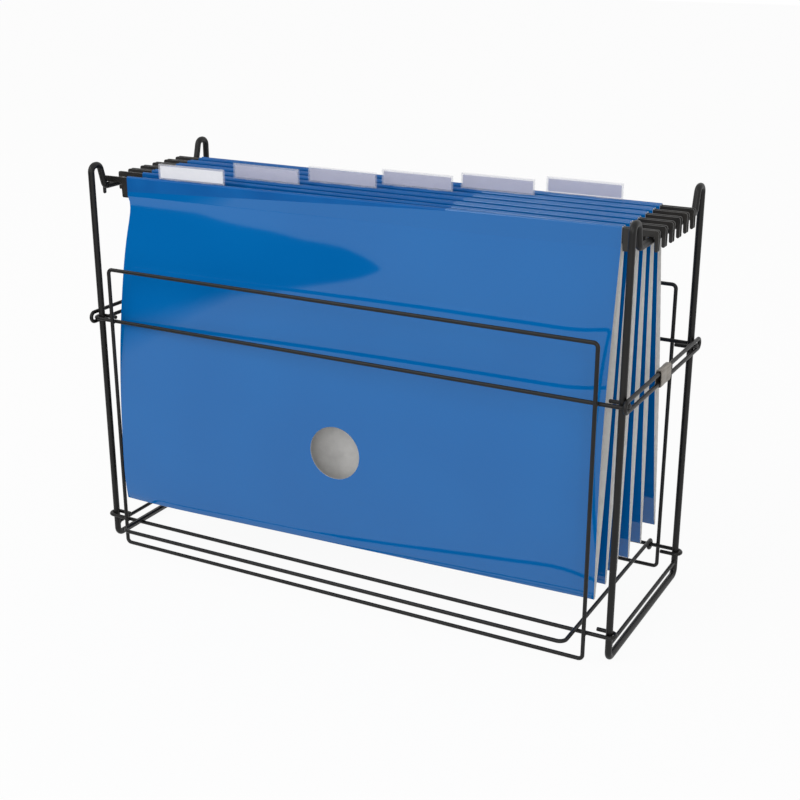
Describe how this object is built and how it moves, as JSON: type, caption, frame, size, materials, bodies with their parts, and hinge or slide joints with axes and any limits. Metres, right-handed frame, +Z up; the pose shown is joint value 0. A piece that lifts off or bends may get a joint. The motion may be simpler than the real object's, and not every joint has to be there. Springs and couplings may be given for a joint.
{
  "type": "desktop hanging-file rack",
  "caption": "Free-standing bent-wire rack whose two side rails carry a row of hooked hanging folders with tabs and finger holes; a wire base frame hinges under them.",
  "frame": {"origin": "on the floor, under the middle of the overall box", "axes": "+X to the right along the folders, +Y to the back, +Z up"},
  "size_m": [0.4126, 0.1742, 0.2896],
  "materials": {
    "wire": "black coated wire, satin",
    "clip": "zinc-grey pressed sheet",
    "card": "blue sheet, glossy outside, pale inside",
    "hanger": "black moulded bar",
    "tab": "clear folded strip",
    "label": "white paper"
  },
  "bodies": {
    "rack": {"side_frame_left": "wire", "side_frame_right": "wire", "side_mid_loop_left": "wire", "side_mid_loop_right": "wire", "side_bottom_wire_left": "wire", "side_bottom_wire_right": "wire", "front_loop": "wire", "front_mid_wire": "wire", "front_bottom_wire": "wire", "rear_loop": "wire", "rear_mid_wire": "wire", "rear_bottom_wire": "wire", "side_clip_left": "clip", "side_clip_right": "clip"},
    "base_frame": {"base_frame": "wire"},
    "folder_1": {"folder_1_card": "card", "folder_1_front_hanger": "hanger", "folder_1_rear_hanger": "hanger", "folder_1_tab": "tab", "folder_1_label": "label"},
    "folder_2": {"folder_2_card": "card", "folder_2_front_hanger": "hanger", "folder_2_rear_hanger": "hanger", "folder_2_tab": "tab", "folder_2_label": "label"},
    "folder_3": {"folder_3_card": "card", "folder_3_front_hanger": "hanger", "folder_3_rear_hanger": "hanger", "folder_3_tab": "tab", "folder_3_label": "label"},
    "folder_4": {"folder_4_card": "card", "folder_4_front_hanger": "hanger", "folder_4_rear_hanger": "hanger", "folder_4_tab": "tab", "folder_4_label": "label"},
    "folder_5": {"folder_5_card": "card", "folder_5_front_hanger": "hanger", "folder_5_rear_hanger": "hanger", "folder_5_tab": "tab", "folder_5_label": "label"},
    "folder_6": {"folder_6_card": "card", "folder_6_front_hanger": "hanger", "folder_6_rear_hanger": "hanger", "folder_6_tab": "tab", "folder_6_label": "label"}
  },
  "joints": [
    {"name": "base_frame_hinge", "type": "hinge", "parent": "rack", "child": "base_frame", "pos_m": [0, 0.08275, 0.0195], "axis": [-1, 0, 0], "range_deg": [0, 3.2]},
    {"name": "folder_1_lift", "type": "slide", "parent": "rack", "child": "folder_1", "axis": [0, 0.0694, 0.9976], "range_m": [0, 0.256]},
    {"name": "folder_2_lift", "type": "slide", "parent": "rack", "child": "folder_2", "axis": [0, 0.0433, 0.9991], "range_m": [0, 0.256]},
    {"name": "folder_3_lift", "type": "slide", "parent": "rack", "child": "folder_3", "axis": [0, 0.0172, 0.9999], "range_m": [0, 0.256]},
    {"name": "folder_4_lift", "type": "slide", "parent": "rack", "child": "folder_4", "axis": [0, -0.009, 1], "range_m": [0, 0.256]},
    {"name": "folder_5_lift", "type": "slide", "parent": "rack", "child": "folder_5", "axis": [0, -0.0368, 0.9993], "range_m": [0, 0.256]},
    {"name": "folder_6_lift", "type": "slide", "parent": "rack", "child": "folder_6", "axis": [0, -0.0612, 0.9981], "range_m": [0, 0.256]}
  ]
}
